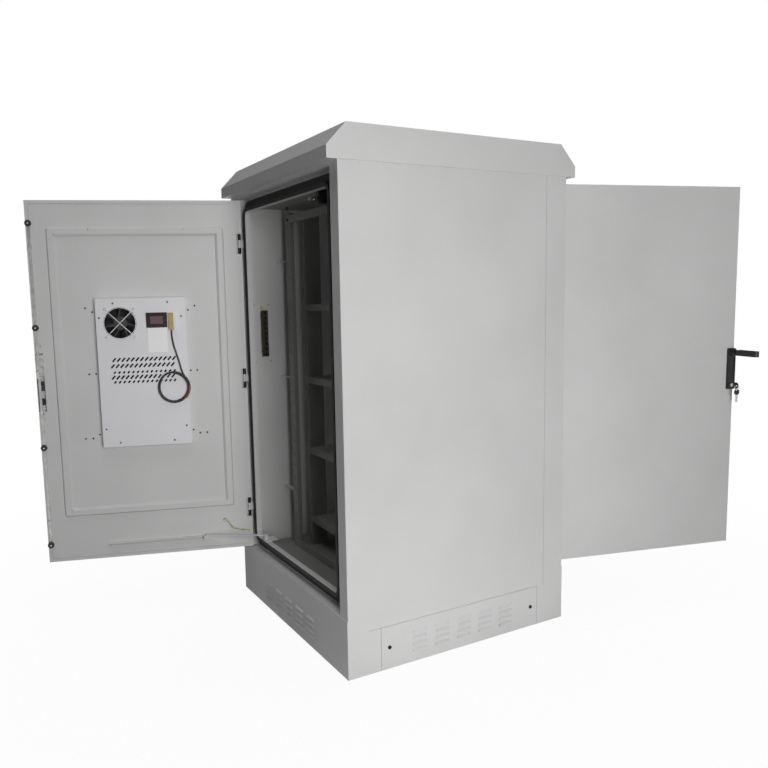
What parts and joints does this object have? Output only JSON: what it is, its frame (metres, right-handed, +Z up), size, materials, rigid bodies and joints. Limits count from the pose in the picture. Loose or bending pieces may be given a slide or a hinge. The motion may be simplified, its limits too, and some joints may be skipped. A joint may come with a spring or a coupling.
{
  "type": "roadside utility cabinet",
  "caption": "Floor-standing outdoor equipment cabinet with open front and rear doors, a door-mounted cooling unit, rod locks, a shelf rack and a louvred plinth.",
  "frame": {"origin": "centre of the base on the ground, midway between the anchor bolts", "axes": "+X to the right seen from the front, -Y out of the front door opening, +Z up"},
  "size_m": [1.3252, 2.1366, 1.515],
  "materials": {
    "black_plastic": "moulded",
    "black_zinc_steel": "black zinc",
    "bright_steel": "bright drawn",
    "cable_pvc": "extruded sheath",
    "display_plastic": "glossy window",
    "earth_bar_brass": "milled",
    "green_plastic": "moulded",
    "light_grey_powder_coat": "fine textured powder coat",
    "nickel_keys": "nickel plated",
    "seal_rubber": "foamed profile",
    "white_powder_coat": "smooth powder coat",
    "zinc_plated_steel": "zinc plated"
  },
  "bodies": {
    "cabinet": {"base_frame": "zinc_plated_steel", "front_frame": "light_grey_powder_coat", "rear_frame": "light_grey_powder_coat", "left_side_panel": "light_grey_powder_coat", "right_side_panel": "light_grey_powder_coat", "side_liners": "light_grey_powder_coat", "floor_pan": "light_grey_powder_coat", "ceiling_pan": "light_grey_powder_coat", "roof_cap": "light_grey_powder_coat", "end_plinth_covers": "light_grey_powder_coat", "side_plinth_covers": "light_grey_powder_coat", "plinth_screws": "black_zinc_steel", "door_gaskets": "seal_rubber", "rack_uprights": "light_grey_powder_coat", "rack_crossbars": "light_grey_powder_coat", "wall_brackets": "light_grey_powder_coat", "shelves": "light_grey_powder_coat", "earth_bar": "earth_bar_brass", "earth_bar_mounts": "black_zinc_steel", "switch_body": "black_plastic", "stay_bracket": "light_grey_powder_coat", "frame_hinges": "zinc_plated_steel"},
    "switch_lever": {"switch_lever": "bright_steel"},
    "front_door": {"front_door_skin": "light_grey_powder_coat", "front_door_liner": "light_grey_powder_coat", "front_hinge_leaves": "black_zinc_steel", "front_handle_base": "black_plastic", "front_rod_guides": "zinc_plated_steel", "front_lock_clamp": "black_plastic", "stay_rail": "zinc_plated_steel", "ac_housing": "light_grey_powder_coat", "ac_inner_panel": "white_powder_coat", "ac_fan_frame": "black_plastic", "ac_fan_guard": "bright_steel", "ac_display": "display_plastic", "ac_terminal": "green_plastic", "ac_cable": "cable_pvc", "ac_cable_coil": "cable_pvc"},
    "front_handle": {"front_handle_spindle": "zinc_plated_steel"},
    "front_lever": {"front_handle_lever": "black_plastic"},
    "front_lock": {"front_lock_plug": "bright_steel"},
    "front_upper_rod": {"front_upper_rod": "zinc_plated_steel"},
    "front_lower_rod": {"front_lower_rod": "zinc_plated_steel"},
    "stay_slider": {"stay_slider": "black_plastic"},
    "stay_arm": {"stay_arm": "zinc_plated_steel"},
    "ac_fan": {"ac_fan": "black_plastic"},
    "condenser_fan": {"condenser_fan": "black_plastic"},
    "rear_door": {"rear_door_skin": "light_grey_powder_coat", "rear_door_liner": "light_grey_powder_coat", "rear_hinge_leaves": "black_zinc_steel", "rear_handle_base": "black_plastic", "rear_rod_guides": "zinc_plated_steel", "rear_lock_clamp": "black_plastic"},
    "rear_handle": {"rear_handle_spindle": "zinc_plated_steel"},
    "rear_lever": {"rear_handle_lever": "black_plastic"},
    "rear_lock": {"rear_lock_plug": "bright_steel", "rear_keys": "nickel_keys"},
    "rear_upper_rod": {"rear_upper_rod": "zinc_plated_steel"},
    "rear_lower_rod": {"rear_lower_rod": "zinc_plated_steel"}
  },
  "joints": [
    {"name": "front_door_hinge", "type": "hinge", "parent": "cabinet", "child": "front_door", "pos_m": [-0.3435, -0.3965, 0.791], "axis": [0, 0, 1], "range_deg": [0, 108]},
    {"name": "rear_door_hinge", "type": "hinge", "parent": "cabinet", "child": "rear_door", "pos_m": [0.3435, 0.3965, 0.791], "axis": [0, 0, 1], "range_deg": [-5, 105]},
    {"name": "front_handle_turn", "type": "hinge", "parent": "front_door", "child": "front_handle", "pos_m": [-0.57058, -1.03876, 0.85], "axis": [-0.9511, 0.309, 0], "range_deg": [0, 90]},
    {"name": "front_lever_lift", "type": "hinge", "parent": "front_handle", "child": "front_lever", "pos_m": [-0.58323, -1.03465, 0.85], "axis": [-0.309, -0.9511, 0], "range_deg": [0, 90]},
    {"name": "front_lock_turn", "type": "hinge", "parent": "front_door", "child": "front_lock", "pos_m": [-0.57058, -1.03876, 0.737], "axis": [-0.9511, 0.309, 0], "range_deg": [0, 90]},
    {"name": "front_upper_rod_slide", "type": "slide", "parent": "front_door", "child": "front_upper_rod", "axis": [0, 0, 1], "range_m": [-0.01273, 0]},
    {"name": "front_lower_rod_slide", "type": "slide", "parent": "front_door", "child": "front_lower_rod", "axis": [0, 0, 1], "range_m": [0, 0.0128]},
    {"name": "rear_handle_turn", "type": "hinge", "parent": "rear_door", "child": "rear_handle", "pos_m": [0.53666, 1.04977, 0.85], "axis": [0.9659, -0.2588, 0], "range_deg": [0, 90]},
    {"name": "rear_lever_lift", "type": "hinge", "parent": "rear_handle", "child": "rear_lever", "pos_m": [0.54951, 1.04632, 0.85], "axis": [0.2588, 0.9659, 0], "range_deg": [0, 90]},
    {"name": "rear_lock_turn", "type": "hinge", "parent": "rear_door", "child": "rear_lock", "pos_m": [0.53666, 1.04977, 0.737], "axis": [0.9659, -0.2588, 0], "range_deg": [0, 90]},
    {"name": "rear_upper_rod_slide", "type": "slide", "parent": "rear_door", "child": "rear_upper_rod", "axis": [0, 0, 1], "range_m": [-0.01273, 0]},
    {"name": "rear_lower_rod_slide", "type": "slide", "parent": "rear_door", "child": "rear_lower_rod", "axis": [0, 0, 1], "range_m": [0, 0.0128]},
    {"name": "ac_fan_spin", "type": "hinge", "parent": "front_door", "child": "ac_fan", "pos_m": [-0.45656, -0.79139, 0.997], "axis": [0.9511, -0.309, 0], "continuous": true},
    {"name": "condenser_fan_spin", "type": "hinge", "parent": "front_door", "child": "condenser_fan", "pos_m": [-0.56047, -0.68402, 0.925], "axis": [-0.9511, 0.309, 0], "continuous": true},
    {"name": "stay_slide", "type": "slide", "parent": "front_door", "child": "stay_slider", "axis": [-0.309, -0.9511, 0], "range_m": [0, 0.14688]},
    {"name": "stay_arm_pivot", "type": "hinge", "parent": "cabinet", "child": "stay_arm", "pos_m": [-0.255, -0.372, 0.2338], "axis": [0, 0, 1], "range_deg": [0, 122.39]},
    {"name": "switch_lever_pivot", "type": "hinge", "parent": "cabinet", "child": "switch_lever", "pos_m": [0.197, -0.366, 1.346], "axis": [1, 0, 0], "range_deg": [-20, 0], "stiffness_Nm_per_rad": 0.02}
  ],
  "couplings": [
    {"joint": "front_handle_turn", "follows": "front_upper_rod_slide", "rad_per_m": -123.41},
    {"joint": "front_lower_rod_slide", "follows": "front_upper_rod_slide", "ratio": -1},
    {"joint": "rear_handle_turn", "follows": "rear_upper_rod_slide", "rad_per_m": -123.41},
    {"joint": "rear_lower_rod_slide", "follows": "rear_upper_rod_slide", "ratio": -1},
    {"joint": "stay_slide", "follows": "front_door_hinge", "m_per_rad": 0.077657},
    {"joint": "stay_arm_pivot", "follows": "front_door_hinge", "ratio": 1.1314}
  ]
}
